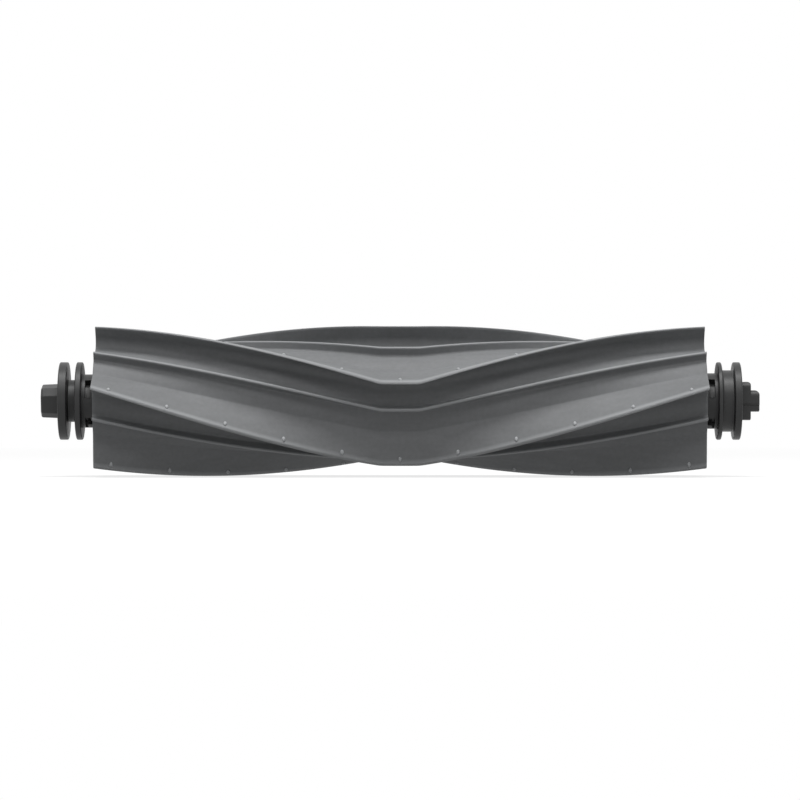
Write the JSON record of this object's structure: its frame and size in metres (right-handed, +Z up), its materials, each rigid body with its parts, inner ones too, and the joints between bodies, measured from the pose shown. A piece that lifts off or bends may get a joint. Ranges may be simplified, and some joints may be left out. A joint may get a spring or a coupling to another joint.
{
  "type": "robot vacuum roller brush",
  "caption": "Rubber main roller brush for a robot vacuum: leaning chevron blades and low ribs on a hollow core, with a square-pegged drive cap and a ball-bearing seat cap.",
  "frame": {"origin": "on the roller's axis at the middle of the sleeve", "axes": "+X along the axis from the drive peg to the bearing seat, +Z up, the pictured front towards -Y"},
  "size_m": [0.191, 0.04, 0.04],
  "materials": {
    "blade_rubber": "matt moulded rubber",
    "cap_plastic": "satin black moulding",
    "core_plastic": "dark grey moulding",
    "bearing_steel": "ground steel",
    "clip_steel": "dark spring steel"
  },
  "bodies": {
    "seat": {"seat_block": "cap_plastic", "seat_pin": "bearing_steel", "retaining_clip": "clip_steel", "thrust_washer": "clip_steel", "bearing_inner_ring": "bearing_steel"},
    "ball_cage": {"ball_cage": "bearing_steel", "bearing_balls": "bearing_steel"},
    "bearing_cap": {"bearing_cap": "cap_plastic", "bearing_outer_ring": "bearing_steel", "bearing_shields": "bearing_steel"},
    "roller": {"rubber_sleeve": "blade_rubber", "core_tube": "core_plastic", "drive_end_plug": "core_plastic", "bearing_end_plug": "core_plastic"},
    "drive_cap": {"drive_cap": "cap_plastic"}
  },
  "joints": [
    {"name": "roller_spin", "type": "hinge", "parent": "seat", "child": "bearing_cap", "pos_m": [0.0876, 0, 0], "axis": [1, 0, 0], "continuous": true},
    {"name": "cage_spin", "type": "hinge", "parent": "seat", "child": "ball_cage", "pos_m": [0.0876, 0, 0], "axis": [1, 0, 0], "continuous": true},
    {"name": "bearing_cap_twist", "type": "hinge", "parent": "bearing_cap", "child": "roller", "pos_m": [0.0825, 0, 0], "axis": [-1, 0, 0], "range_deg": [0, 23.3]},
    {"name": "drive_cap_twist", "type": "hinge", "parent": "roller", "child": "drive_cap", "pos_m": [-0.0825, 0, 0], "axis": [1, 0, 0], "range_deg": [0, 23.3]}
  ],
  "couplings": [
    {"joint": "cage_spin", "follows": "roller_spin", "ratio": 0.62667}
  ]
}
